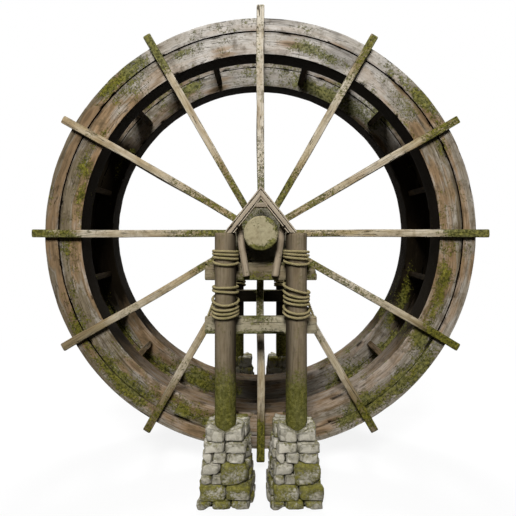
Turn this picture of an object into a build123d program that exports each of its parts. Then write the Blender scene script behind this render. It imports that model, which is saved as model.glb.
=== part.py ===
"""Timber water wheel on two lashed log trestles with rubble stone piers.

Millimetres. +Z is up, the axle runs along Y and the front trestle stands at -Y.
The origin is on the ground, under the middle of the wheel.
"""

import os
from math import cos, hypot, radians, sin, tan

from build123d import *

# Wheel: two shrouds, each an inner ring of felloes and a slightly prouder outer band
wheel_radius = 2000.0
ring_flats = 48
band_width = 125.0
band_proud = 10.0
felloe_width = 210.0
felloe_thickness = 270.0
shroud_gap = 736.0
segment_joint = 4.0
ring_clearance = 0.5

# Spokes, let into the hubs and notched through the outer bands
spoke_count = 12
spoke_tip_width = 74.0
spoke_hub_width = 64.0
spoke_depth = 65.0
spoke_overhang = 100.0
spoke_chamfer = 7.0
mortise_depth = 60.0
joint_clearance = 0.5

# Floats between the shrouds, housed in grooves
float_count = 24
float_thickness = 60.0
float_width = 252.0
float_inset = 15.0
groove_depth = 25.0

# Axle log and the hubs fixed on it
axle_radius = 145.0
axle_length = 2470.0
axle_chamfer = 12.0
hub_radius = 275.0
hub_flats = 24
hub_length = 180.0
hub_chamfer = 14.0
hub_fit = 0.3

# Trestles
axle_height = 2190.0
trestle_offset = 1124.0
post_spacing = 590.0
post_foot_radius = 89.5
post_top_radius = 86.5
post_top_rise = 5.0
post_chamfer = 6.0
post_seat_depth = 20.0
post_flats = 24

# Stone piers with a socket for each post's foot
pier_height = 640.0
pier_base = 425.0
pier_top = 310.0
pier_skew = 45.0
pier_chamfer = 18.0
pier_notch_depth = 66.0
socket_depth = 140.0
socket_clearance = 1.5

# Cross beams, seated in the backs of the posts
beam_length = 950.0
beam_height = 150.0
beam_depth = 90.0
beam_chamfer = 6.0
upper_beam_drop = 324.0
lower_beam_drop = 781.0
beam_split_length = 16.0
beam_split_share = 0.55

# Bearing struts: two leaning poles that cradle the axle
strut_radius = 30.0
strut_lean = 9.0
strut_foot_drop = 362.0
strut_seat_depth = 6.0
bearing_clearance = 0.3

# Little gable roof over each end of the axle
roof_pitch = 51.4
rafter_clearance = 29.0
rafter_width = 50.0
rafter_thickness = 40.0
roof_board_thickness = 17.0
roof_front_reach = 86.0
roof_depth = 235.0
eave_gap = 4.0
front_rafter_reach = 61.0
collar_drop = 26.0
collar_height = 39.0

# Rope lashings: turns round each post above and below the upper beam
rope_diameter = 24.0
rope_clearance = 0.3
rope_sides = 12
stay_head = (96.0, 50.0, 560.0)
stay_foot = (152.0, 100.0)
# The stay's head: out from the post's middle, back from it, below the axle. Its foot: out, back.
# Each turn: drop of its middle below the axle, dip towards the front, dip to the right
left_turns = (
    (147, 0, 0),
    (175, 0, 0),
    (203, 1, 0),
    (244, 8, 0),
    (440, 3, -3),
    (474, 3, -3),
    (556, 17, -6),
    (610, 11, -6),
    (641, 11, -6),
    (672, 11, -6),
)
right_turns = (
    (148, 0, 0),
    (176, 0, 1),
    (203, 1, 1),
    (243, 7, 2),
    (455, 8, 14),
    (505, 8, 6),
    (537, 8, 3),
    (568, 8, 0),
    (630, 14, 0),
    (664, 14, 0),
)

# Derived sizes
band_inner_radius = wheel_radius - band_width
felloe_outer_radius = band_inner_radius - ring_clearance
felloe_inner_radius = band_inner_radius - felloe_width
shroud_inner = shroud_gap / 2
shroud_outer = shroud_inner + felloe_thickness
spoke_tip_radius = wheel_radius + spoke_overhang
spoke_root_radius = hub_radius - mortise_depth
hub_middle = shroud_outer + spoke_depth / 2
float_middle_radius = wheel_radius - float_inset - float_width / 2
post_foot = pier_height - socket_depth
post_top = axle_height + post_top_rise
socket_radius = post_foot_radius + socket_clearance
beam_front = trestle_offset - post_foot_radius + post_seat_depth
strut_line = beam_front + strut_radius - strut_seat_depth
strut_distance = axle_radius + strut_radius + bearing_clearance
rafter_inner = axle_radius + rafter_clearance
rafter_outer = rafter_inner + rafter_width
roof_outer = rafter_outer + roof_board_thickness
across = cos(radians(90 - roof_pitch))
upward = sin(radians(90 - roof_pitch))
roof_front = trestle_offset + roof_front_reach
rope_radius = rope_diameter / 2

os.makedirs("parts", exist_ok=True)


def save(part, name):
    """Writes one finished sub-part under its own name."""
    part.label = name
    export_step(part, f"parts/{name}.step")


def wheel_plane(end, distance):
    """Plane across the axle, at a distance from the wheel's middle, facing that end."""
    origin = (0, end * distance, axle_height)
    return Plane(origin=origin, x_dir=(-end, 0, 0), z_dir=(0, end, 0))


def post_radius(height):
    """Radius of a tapered post at a height above the ground."""
    share = (height - post_foot) / (post_top - post_foot)
    return post_foot_radius + share * (post_top_radius - post_foot_radius)


def roof_x(distance, height):
    """Half width, at a height above the axle, of a roof plane that far from the axle."""
    return (distance - height * upward) / across


def float_grooves(end):
    """Housings for the floats, cut into the inward face of each ring of a shroud."""
    with BuildPart() as grooves:
        with BuildSketch(wheel_plane(end, shroud_inner)):
            with PolarLocations(float_middle_radius, float_count):
                Rectangle(float_width + 2 * joint_clearance, float_thickness + 2 * joint_clearance)
        extrude(amount=groove_depth)
    return grooves.part


def felloes(end):
    """Inner ring of a shroud: twelve felloes that meet under the spokes."""
    grooves = float_grooves(end)
    with BuildPart() as ring:
        with BuildSketch(wheel_plane(end, shroud_inner)):
            RegularPolygon(felloe_outer_radius, ring_flats)
            RegularPolygon(felloe_inner_radius, ring_flats, mode=Mode.SUBTRACT)
            with PolarLocations(wheel_radius / 2, spoke_count):
                Rectangle(wheel_radius, segment_joint, mode=Mode.SUBTRACT)
        extrude(amount=felloe_thickness)
        add(grooves, mode=Mode.SUBTRACT)
    return ring.part


def band(end):
    """Outer ring of a shroud, notched on its proud face where the spokes pass."""
    grooves = float_grooves(end)
    with BuildPart() as ring:
        with BuildSketch(wheel_plane(end, shroud_inner)):
            RegularPolygon(wheel_radius, ring_flats)
            RegularPolygon(band_inner_radius, ring_flats, mode=Mode.SUBTRACT)
            with PolarLocations(wheel_radius / 2, spoke_count):
                Rectangle(wheel_radius, segment_joint, mode=Mode.SUBTRACT)
        extrude(amount=felloe_thickness + band_proud)
        with BuildSketch(wheel_plane(end, shroud_outer)):
            with PolarLocations(wheel_radius, spoke_count):
                Rectangle(2 * band_width + spoke_overhang, spoke_tip_width + 2 * joint_clearance)
        extrude(amount=band_proud, mode=Mode.SUBTRACT)
        add(grooves, mode=Mode.SUBTRACT)
    return ring.part


def spokes(end):
    """Twelve tapered spokes that lie on the felloes and reach past the rim."""
    root, tip = spoke_hub_width / 2, spoke_tip_width / 2
    with BuildPart() as star:
        with BuildSketch(wheel_plane(end, shroud_outer)):
            with PolarLocations(0, spoke_count):
                Polygon(
                    (spoke_root_radius, -root),
                    (spoke_tip_radius, -tip),
                    (spoke_tip_radius, tip),
                    (spoke_root_radius, root),
                    align=None,
                )
        extrude(amount=spoke_depth)
        outward = star.faces().filter_by(Axis.Y).sort_by(Axis.Y)
        front = outward[-spoke_count:] if end > 0 else outward[:spoke_count]
        chamfer(front.edges(), spoke_chamfer)
    return star.part


def hub(end):
    """Hewn nave, with a mortise in every second flat for a spoke, bored for the axle."""
    with BuildPart() as nave:
        with BuildSketch(wheel_plane(end, hub_middle)):
            RegularPolygon(hub_radius, hub_flats, rotation=180 / hub_flats)
        extrude(amount=hub_length / 2, both=True)
        chamfer(nave.faces().filter_by(Axis.Y).edges(), hub_chamfer)
        with BuildSketch(wheel_plane(end, hub_middle)):
            Circle(axle_radius + hub_fit)
        extrude(amount=hub_length / 2, both=True, mode=Mode.SUBTRACT)
        with BuildSketch(wheel_plane(end, shroud_outer)):
            with PolarLocations(hub_radius, spoke_count):
                Rectangle(2 * mortise_depth, spoke_hub_width + 2 * joint_clearance)
        extrude(amount=spoke_depth, mode=Mode.SUBTRACT)
    return nave.part


def floats():
    """Radial boards between the shrouds, one behind each spoke and one between."""
    with BuildPart() as boards:
        with BuildSketch(wheel_plane(-1, 0)):
            with PolarLocations(float_middle_radius, float_count):
                Rectangle(float_width, float_thickness)
        extrude(amount=shroud_inner + groove_depth, both=True)
    return boards.part


def axle():
    """The axle log, with its end arrises taken off."""
    with BuildPart() as log:
        with BuildSketch(wheel_plane(-1, 0)):
            Circle(axle_radius)
        extrude(amount=axle_length / 2, both=True)
        chamfer(log.edges().filter_by(GeomType.CIRCLE), axle_chamfer)
    return log.part


def pier_outline(side, end, size):
    """Outline of a pier, with its back, towards the wheel, set nearer to the middle."""
    half = size / 2
    corners = (
        (side * half, end * half),
        (-side * half, end * half),
        (-side * (half + pier_skew), -end * half),
        (side * (half - pier_skew), -end * half),
    )
    Polygon(*corners[:: side * end], align=None)


def pier(side, end):
    """Tapering rubble pier, open at the top for a post's foot, which shows in a notch at the outside."""
    x, y = side * post_spacing / 2, end * trestle_offset
    base = Plane((x, y, 0))
    outward = Plane(origin=(x, y, pier_height), x_dir=(-end, 0, 0), z_dir=(0, end, 0))
    with BuildPart() as mass:
        with BuildSketch(base):
            pier_outline(side, end, pier_base)
        with BuildSketch(base.offset(pier_height)):
            pier_outline(side, end, pier_top)
        loft(ruled=True)
        chamfer(mass.faces().sort_by(Axis.Z)[-1].edges(), pier_chamfer)
        with BuildSketch(base.offset(pier_height)):
            RegularPolygon(socket_radius, post_flats)
        extrude(amount=-socket_depth, mode=Mode.SUBTRACT)
        with BuildSketch(outward):
            Polygon((-pier_top / 2, 0), (0, -pier_notch_depth), (pier_top / 2, 0), align=None)
        extrude(amount=pier_base / 2, mode=Mode.SUBTRACT)
    return mass.part


def post(side, end):
    """Tapered log, adzed to many flats, with seats at the back for the two cross beams."""
    x = side * post_spacing / 2
    foot = Plane((x, end * trestle_offset, post_foot))
    seat_middle = end * (beam_front - beam_depth / 2)
    with BuildPart() as log:
        with BuildSketch(foot):
            RegularPolygon(post_foot_radius, post_flats)
        with BuildSketch(foot.offset(post_top - post_foot)):
            RegularPolygon(post_top_radius, post_flats)
        loft(ruled=True)
        chamfer(log.faces().sort_by(Axis.Z)[-1].edges(), post_chamfer)
        for drop in (upper_beam_drop, lower_beam_drop):
            with Locations((x, seat_middle, axle_height - drop)):
                Box(2 * post_foot_radius, beam_depth, beam_height, mode=Mode.SUBTRACT)
    return log.part


def beam(end, drop, split):
    """Squared cross beam. A split one has lost the upper corner of one end."""
    middle = (0, end * (beam_front - beam_depth / 2), axle_height - drop)
    broken = beam_height * beam_split_share
    with BuildPart() as bar:
        with Locations(middle):
            Box(beam_length, beam_depth, beam_height)
        chamfer(bar.edges().filter_by(Axis.X), beam_chamfer)
        if split:
            corner = (-end * beam_length / 2, middle[1], middle[2] + beam_height / 2)
            with Locations(corner):
                Box(2 * beam_split_length, beam_depth, 2 * broken, mode=Mode.SUBTRACT)
    return bar.part


def strut(side, end):
    """Leaning pole that the axle turns against, cut to sit under the rafter."""
    lean = radians(strut_lean)
    foot_x = strut_distance / cos(lean) - strut_foot_drop * tan(lean)
    foot = (side * foot_x, end * strut_line, axle_height - strut_foot_drop)
    along = (side * sin(lean), 0, cos(lean))
    rafter_face = Plane(
        origin=(0, 0, axle_height + rafter_inner / upward),
        x_dir=(0, 1, 0),
        z_dir=(side * across, 0, upward),
    )
    seat = (0, end * (beam_front - beam_depth / 2), axle_height - upper_beam_drop)
    with BuildPart() as pole:
        with BuildSketch(Plane(origin=foot, x_dir=(0, 1, 0), z_dir=along)):
            Circle(strut_radius)
        extrude(amount=strut_foot_drop + rafter_inner)
        split(bisect_by=rafter_face, keep=Keep.BOTTOM)
        with Locations(seat):
            Box(beam_length, beam_depth, beam_height, mode=Mode.SUBTRACT)
    return pole.part


def slope(side, near, far, low):
    """Sloping strip of the gable, between two distances from the axle, down to a height."""
    Polygon(
        (0, near / upward),
        (side * roof_x(near, low), low),
        (side * roof_x(far, low), low),
        (0, far / upward),
        align=None,
    )


def rafter_planes(end):
    """The outward faces of the front and the rear gable frame of one roof."""
    front = trestle_offset + front_rafter_reach + rafter_thickness / 2
    rear = strut_line + rafter_thickness / 2
    return wheel_plane(end, front), wheel_plane(end, rear)


def rafters(side, end):
    """The rafters of one slope, front and rear, standing on the post's top."""
    with BuildPart() as pair:
        for face in rafter_planes(end):
            with BuildSketch(face):
                slope(-side * end, rafter_inner, rafter_outer, post_top_rise)
            extrude(amount=-rafter_thickness)
    return pair.part


def collars(end):
    """Short ties between the two slopes' rafters, close under the ridge."""
    top = rafter_inner / upward - collar_drop
    bottom = top - collar_height
    with BuildPart() as ties:
        for face in rafter_planes(end):
            with BuildSketch(face):
                Polygon(
                    (-roof_x(rafter_inner, bottom), bottom),
                    (roof_x(rafter_inner, bottom), bottom),
                    (roof_x(rafter_inner, top), top),
                    (-roof_x(rafter_inner, top), top),
                    align=None,
                )
            extrude(amount=-rafter_thickness)
    return ties.part


def roof_board(side, end):
    """One slope's covering, nailed on its rafters."""
    with BuildPart() as board:
        with BuildSketch(wheel_plane(end, roof_front)):
            slope(-side * end, rafter_outer, roof_outer, post_top_rise + eave_gap)
        extrude(amount=-roof_depth)
    return board.part


def lashing(side, end):
    """Turns of rope round one post, and a stay from them to the top of the lower beam."""
    turns = left_turns if side * end > 0 else right_turns
    x, y = side * post_spacing / 2, end * trestle_offset
    beam_middle = (0, end * (beam_front - beam_depth / 2), axle_height - lower_beam_drop)
    out, back, drop = stay_head
    head = Vector(x + side * out, y - end * back, axle_height - drop)
    out, back = stay_foot
    foot = Vector(x + side * out, y - end * back, beam_middle[2] + beam_height / 2 - rope_diameter)
    flat_forward = 180 / rope_sides
    with BuildPart() as rope:
        for drop, dip, roll in turns:
            tilt = radians(hypot(dip, roll))
            fit = post_radius(axle_height - drop) + rope_clearance
            hole = (fit + rope_radius * sin(tilt)) / cos(tilt)
            turn = Plane((x, y, axle_height - drop)).rotated((-end * dip, -end * roll, 0))
            with BuildSketch(turn.offset(-rope_radius)):
                RegularPolygon(hole + rope_diameter, rope_sides, False, flat_forward)
                RegularPolygon(hole, rope_sides, False, flat_forward, mode=Mode.SUBTRACT)
            extrude(amount=rope_diameter)
        with BuildSketch(Plane(origin=head, z_dir=foot - head)):
            RegularPolygon(rope_radius, rope_sides // 2)
        extrude(amount=(foot - head).length)
        with Locations(beam_middle):
            Box(beam_length, beam_depth, beam_height, mode=Mode.SUBTRACT)
    return rope.part


SIDES = {"left": -1, "right": 1}
ENDS = {"front": -1, "back": 1}

for end_name, end in ENDS.items():
    save(felloes(end), f"{end_name}_felloes")
    save(band(end), f"{end_name}_rim_band")
    save(spokes(end), f"{end_name}_spokes")
    save(hub(end), f"{end_name}_hub")
    save(beam(end, upper_beam_drop, True), f"{end_name}_upper_beam")
    save(beam(end, lower_beam_drop, False), f"{end_name}_lower_beam")
    save(collars(end), f"{end_name}_collar_ties")
    for side_name, side in SIDES.items():
        corner = f"{end_name}_{side_name}"
        save(pier(side, end), f"{corner}_pier")
        save(post(side, end), f"{corner}_post")
        save(strut(side, end), f"{corner}_bearing_strut")
        save(rafters(side, end), f"{corner}_rafters")
        save(roof_board(side, end), f"{corner}_roof_board")
        save(lashing(side, end), f"{corner}_lashing")

save(floats(), "floats")
save(axle(), "axle")
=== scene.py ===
"""Looks of the water wheel: worn mossy timber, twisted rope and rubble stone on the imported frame."""

import itertools
import math

import bpy
import numpy as np
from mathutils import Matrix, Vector


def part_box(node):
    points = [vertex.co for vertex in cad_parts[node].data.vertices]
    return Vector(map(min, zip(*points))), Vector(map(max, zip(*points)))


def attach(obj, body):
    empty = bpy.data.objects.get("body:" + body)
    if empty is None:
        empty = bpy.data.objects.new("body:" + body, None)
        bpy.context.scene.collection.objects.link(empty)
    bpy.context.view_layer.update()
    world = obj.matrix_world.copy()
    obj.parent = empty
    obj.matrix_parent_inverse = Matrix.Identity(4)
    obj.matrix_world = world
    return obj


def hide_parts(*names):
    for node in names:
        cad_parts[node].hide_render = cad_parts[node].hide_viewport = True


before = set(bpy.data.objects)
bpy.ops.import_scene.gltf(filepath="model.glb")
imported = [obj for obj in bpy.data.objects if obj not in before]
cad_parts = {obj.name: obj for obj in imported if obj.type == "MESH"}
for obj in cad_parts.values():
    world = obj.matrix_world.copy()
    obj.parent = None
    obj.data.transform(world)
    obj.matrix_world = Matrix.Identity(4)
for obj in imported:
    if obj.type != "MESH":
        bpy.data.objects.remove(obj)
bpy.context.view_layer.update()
scene = bpy.context.scene

SIDES = {"left": -1, "right": 1}
ENDS = {"front": -1, "back": 1}


# Sizes and places in metres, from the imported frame

def span(node):
    """Middle and half size of a CAD node's box."""
    low, high = (np.array(corner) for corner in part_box(node))
    return (low + high) / 2, (high - low) / 2


def wheel_size(node):
    """Outer radius, distance from the wheel's middle plane and half depth of a ring."""
    middle, half = span(node)
    return half[0], abs(middle[1]), half[1]


SPOKES, FLOATS = 12, 24
AXLE_Z = span("axle")[0][2]
AXLE_RADIUS, _, AXLE_REACH = wheel_size("axle")
RIM_RADIUS, RIM_Y, RIM_DEPTH = wheel_size("front_rim_band")
FELLOE_RADIUS, FELLOE_Y, FELLOE_DEPTH = wheel_size("front_felloes")
SPOKE_RADIUS, SPOKE_Y, SPOKE_DEPTH = wheel_size("front_spokes")
HUB_RADIUS, HUB_Y, HUB_DEPTH = wheel_size("front_hub")
FLOAT_RADIUS, _, FLOAT_REACH = wheel_size("floats")
BAND_WIDTH, FELLOE_WIDTH = 0.125, 0.2095
JOINT_RADIUS = RIM_RADIUS - BAND_WIDTH
FELLOE_INNER = FELLOE_RADIUS - FELLOE_WIDTH
RING_GAP, BALK_GAP = 0.002, 0.004
FLOAT_WIDTH, FLOAT_THICKNESS = 0.252, 0.060
SPOKE_ROOT = 0.215
SPOKE_WIDTH, SPOKE_TAPER = 0.074, 0.865
LOG_SLACK = 0.0015

POST_MIDDLE, POST_HALF = span("front_right_post")
POST_X, TRESTLE_Y = POST_MIDDLE[0], -POST_MIDDLE[1]
POST_RADIUS = POST_HALF[0]
POST_FOOT = POST_MIDDLE[2] - POST_HALF[2]
UPPER_BEAM_Z = span("front_upper_beam")[0][2]
LOWER_BEAM_Z = span("front_lower_beam")[0][2]
STRUT_LEAN, STRUT_DROP, STRUT_DISTANCE = math.radians(9), 0.362, 0.1753

ROOF_PITCH = math.radians(51.4)
ACROSS, UPWARD = math.sin(ROOF_PITCH), math.cos(ROOF_PITCH)
RAFTER_INNER, RAFTER_OUTER, ROOF_OUTER = 0.174, 0.224, 0.241
RAFTER_DEPTH = 0.040
EAVE = 0.005
COLLAR_Z = span("front_collar_ties")[0][2]
GABLE_Y = -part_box("front_left_rafters")[0][1]

# Timbers before the roof's planes cut them: length and, on a slope, the start beyond the ridge
COLLAR_BLANK, STRUT_BLANK = 0.20, 0.46
RAFTER_BLANK, RAFTER_START = 0.66, 0.30
BOARD_BLANK, BOARD_START = 0.70, 0.34
SNUG = 0.0005

PIER_HALF = span("front_left_pier")[1]
PIER_HEIGHT, PIER_BASE, PIER_TOP = 2 * PIER_HALF[2], 2 * PIER_HALF[1], 0.310
PIER_NOTCH, PIER_SKEW = 0.066, 2 * (PIER_HALF[0] - PIER_HALF[1])

LATTICE = np.random.default_rng(5).random((32, 32, 32))


def noise(p, seed=0.0):
    """Smooth value noise between -1 and 1 at points of any array shape (..., 3)."""
    q = np.asarray(p, float) + seed * np.array((7.13, 3.71, 5.37))
    i = np.floor(q).astype(int)
    f = q - i
    f = f * f * (3 - 2 * f)
    total = 0.0
    for corner in itertools.product((0, 1), repeat=3):
        w = np.where(corner, f, 1 - f)
        j = (i + corner) % len(LATTICE)
        total = total + w[..., 0] * w[..., 1] * w[..., 2] * LATTICE[j[..., 0], j[..., 1], j[..., 2]]
    return 2 * total - 1


def fractal(p, seed=0.0, octaves=3):
    """Noise at several scales, still about -1 to 1."""
    total = 0.0
    for k in range(octaves):
        total = total + noise(np.asarray(p) * 2 ** k, seed + k) / 2 ** k
    return total / (2 - 2 ** (1 - octaves))


def smooth(x, low, high):
    """Smooth step from 0 at low to 1 at high."""
    t = np.clip((x - low) / (high - low), 0, 1)
    return t * t * (3 - 2 * t)


def unit(v):
    """Vectors brought to length 1."""
    v = np.asarray(v, float)
    return v / np.maximum(np.linalg.norm(v, axis=-1, keepdims=True), 1e-9)


def seed_for(*parts):
    """A number of its own for each timber."""
    return sum((k + 1) * 13.7 * p for k, p in enumerate(parts)) % 97


# Meshes

class Heap:
    """Collects the vertices, faces and surface values of one piece."""

    def __init__(self):
        self.points, self.faces, self.grain, self.look, self.lane = [], [], [], [], []
        self.count = 0

    def add(self, points, faces, grain, look, lane=None):
        """Adds a mesh: points, faces, grain place, look (moss, bleach, dirt_and_shade) and lane across a
        board.
        """
        self.faces += faces
        self.points.append(points.reshape(-1, 3))
        self.grain.append(grain.reshape(-1, 3))
        self.look.append(look.reshape(-1, 3))
        self.lane.append(np.zeros(len(self.points[-1])) if lane is None else lane.ravel())
        self.count += len(self.points[-1])

    def tube(self, points, grain, look, lane=None):
        """A tube of rings: points (rings, around, 3), closed around and capped at both ends."""
        rings, around = points.shape[:2]
        index = self.count + np.arange(rings * around).reshape(rings, around)
        turned = np.roll(index, -1, axis=1)
        quads = np.stack((index[:-1], turned[:-1], turned[1:], index[1:]), axis=-1)
        faces = quads.reshape(-1, 4).tolist() + [index[0][::-1].tolist(), index[-1].tolist()]
        self.add(points, faces, grain, look, lane)

    def piece(self, name, node, slot, where="", body="frame"):
        """Makes the object that stands for a CAD node. Both their names begin with where."""
        name, node = where + name, where + node
        mesh = bpy.data.meshes.new(name)
        mesh.from_pydata(np.concatenate(self.points).tolist(), [], self.faces)
        for key, rows in (("grain", self.grain), ("look", self.look)):
            data = mesh.attributes.new(key, "FLOAT_VECTOR", "POINT").data
            data.foreach_set("vector", np.concatenate(rows).astype(np.float32).ravel())
        data = mesh.attributes.new("lane", "FLOAT", "POINT").data
        data.foreach_set("value", np.concatenate(self.lane).astype(np.float32))
        mesh.shade_smooth()
        mesh.materials.append(MATERIALS[slot])
        mesh.validate()
        obj = bpy.data.objects.new(name, mesh)
        scene.collection.objects.link(obj)
        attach(obj, body)
        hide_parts(node)


def rect_section(half_w, half_h, radius, across, down):
    """Rounded rectangle: its points, their outward normals and how near an arris they lie."""
    corners = ((1, -1, -90), (1, 1, 0), (-1, 1, 90), (-1, -1, 180))
    rows = []
    for k, (ca, cb, start) in enumerate(corners):
        ea, eb, _ = corners[(k + 1) % 4]
        n = across if k % 2 else down
        spots = [(ca, cb, start + turn, 1.0) for turn in (0, 30, 60, 90)]
        spots += [(ca + (ea - ca) * i / n, cb + (eb - cb) * i / n, start + 90, 0.0) for i in range(1, n)]
        for pa, pb, angle, near in spots:
            na, nb = math.cos(math.radians(angle)), math.sin(math.radians(angle))
            a = pa * (half_w - radius) + radius * na
            b = pb * (half_h - radius) + radius * nb
            rows.append((a, b, na, nb, near))
    return [np.array(column) for column in zip(*rows)]


def round_section(radius, around, flats=0):
    """Circle, or a many-sided log with that many hewn flats, with no arrises."""
    t = np.arange(around) / around * math.tau
    r = np.full(around, radius)
    if flats:
        half = math.pi / flats
        r = radius * (0.35 + 0.65 * math.cos(half) / np.cos((t % (2 * half)) - half))
    return [r * np.cos(t), r * np.sin(t), np.cos(t), np.sin(t), np.zeros(around)]


LOG_CAPS = (0.15, 0.4, 0.62, 0.8, 0.93)


def timber(heap, section, length, place, seed, look, step=0.03, wear=0.004, wave=0.003,
           end_round=0.006, taper=1.0, crook=0.0, caps=(0.45,), ragged=0.004, rubbed_and_highlight=0.35):
    """A worn balk along its own length. place(s, a, b) puts its points in the shared frame.

    look(points, normals) gives moss, bleach and dirt_and_shade, that is grime and painted shade.
    taper is the width at the start, as a share, caps are the rings of each end face, as shares of
    the section, from the middle out, and rubbed_and_highlight is how much paler the arrises are,
    from wear and a painted highlight."""
    a0, b0, na, nb, arris = section
    flat = len(caps)
    side = np.linspace(end_round, length - end_round, max(4, int(length / step)))
    s = np.concatenate((np.zeros(flat + 1), side, np.full(flat + 1, length)))
    share = np.concatenate((caps, np.ones(len(side) + 2), caps[::-1]))
    on_end = np.concatenate((np.ones(flat + 1), np.zeros(len(side)), -np.ones(flat + 1)))
    width = taper + (1 - taper) * s / length
    shrink = end_round * np.abs(on_end)
    a = (a0 * width[:, None] - na * shrink[:, None]) * share[:, None]
    b = (b0 - nb * shrink[:, None]) * share[:, None]
    ss = np.repeat(s[:, None], len(a0), axis=1)
    local = np.stack((ss, a, b), axis=-1)
    push = wave * fractal(local * (2.2, 7, 7), seed, 3)
    push += 0.35 * wave * fractal(local * (7, 90, 90), seed + 2, 2)
    chips = np.maximum(0, fractal(local * (9, 14, 14), seed + 4, 2) - 0.05)
    push -= arris * wear * (0.6 + 2.6 * chips)
    push *= share[:, None]
    a = a + push * na
    b = b + push * nb
    rough = ragged * np.abs(fractal(local * (0, 30, 30), seed + 6, 2))
    ss = ss + on_end[:, None] * rough
    along = np.stack((ss * 1.1, ss * 0, ss * 0), -1)
    a = a + crook * np.sin(math.pi * ss / length) * noise(along, seed + 8)
    points = place(ss, a, b)
    normals = place(ss, a + na * 0.01, b + nb * 0.01) - points
    normals[share < 1] = 0
    normals = unit(normals)
    end_grain = np.stack((0.5 * np.hypot(a, b), 0.3 * a, 0.3 * b), -1)
    grain = np.where((share < 1)[:, None, None], end_grain, np.stack((ss, a, b), -1))
    rng = np.random.default_rng(int(seed * 10) + 1)
    grain = grain + rng.random(3) * (40, 3, 3)
    lane = a0 / np.abs(a0).max() + rng.uniform(-0.5, 0.5)
    values = look(points, normals)
    # Paler arrises: partly wear, partly a painted highlight along the edges.
    values[..., 1] += rubbed_and_highlight * arris * smooth(fractal(local * (5, 3, 3), seed + 9, 2), -0.3, 0.4)
    heap.tube(points, grain, values, np.broadcast_to(lane, a.shape))


def straight(origin, along, side):
    """place() for a straight balk: s runs along, a to the side, b across both."""
    o, e, f = np.array(origin, float), unit(along), unit(side)
    g = np.cross(e, f)
    return lambda s, a, b: o + s[..., None] * e + a[..., None] * f + b[..., None] * g


def arc(radius, middle_angle, length, y):
    """place() for a curved balk of the rim: s runs round the wheel, a outwards, b along the axle."""
    def place(s, a, b):
        t = middle_angle + (s - length / 2) / radius
        r = radius + a
        return np.stack((r * np.cos(t), y + b, AXLE_Z + r * np.sin(t)), -1)
    return place


def cut(place, along, planes):
    """place() whose points stop at planes (normal, distance), sliding back along the balk."""
    e = unit(along)

    def placed(s, a, b):
        p = place(s, a, b)
        for normal, distance in planes:
            over = np.maximum(0, p @ np.array(normal) - distance)
            p = p - (over / float(e @ np.array(normal)))[..., None] * e
        return p
    return placed


# Looks: moss, bleach, and grime with painted shade, by place on the object at rest

def stack(moss, bleach, dirt_and_shade):
    """A look: three values for each point."""
    return np.stack(np.broadcast_arrays(moss, bleach, dirt_and_shade), -1)


def wheel_angle(p):
    """Angle round the axle and distance from it."""
    x, z = p[..., 0], p[..., 2] - AXLE_Z
    return np.arctan2(z, x), np.hypot(x, z)


def facing_in(p, n):
    """1 on faces that look in towards the wheel's middle plane, -1 on faces that look out."""
    return -n[..., 1] * np.sign(p[..., 1])


# Moss on the rings: angle, reach in degrees, distance from the rings' joint, half width, amount
MOSS_PATCHES = (
    (132, 11, 0.065, 0.060, 0.38),
    (114, 5, -0.045, 0.045, 0.55),
    (147, 3, -0.160, 0.040, 0.50),
    (157, 8, -0.120, 0.060, 0.58),
    (168, 5, -0.170, 0.035, 0.55),
    (183, 4, -0.060, 0.060, 0.35),
    (199, 7, -0.050, 0.050, 0.35),
    (209, 6, 0.040, 0.070, 0.54),
    (221, 9, 0.020, 0.100, 0.64),
    (231, 6, 0.010, 0.090, 0.58),
    (249, 10, -0.080, 0.100, 0.62),
    (71, 9, -0.120, 0.060, 0.60),
    (40, 8, 0.070, 0.060, 0.65),
    (25, 5, -0.010, 0.060, 0.65),
    (-11, 6, -0.140, 0.060, 0.45),
    (-22, 8, -0.110, 0.060, 0.66),
    (-33, 4, -0.120, 0.080, 0.66),
    (-39, 6, 0.050, 0.070, 0.52),
    (-50, 9, 0.030, 0.100, 0.54),
    (-59, 5, -0.040, 0.100, 0.56),
    (-65, 3, 0.020, 0.040, 0.50),
)


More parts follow.
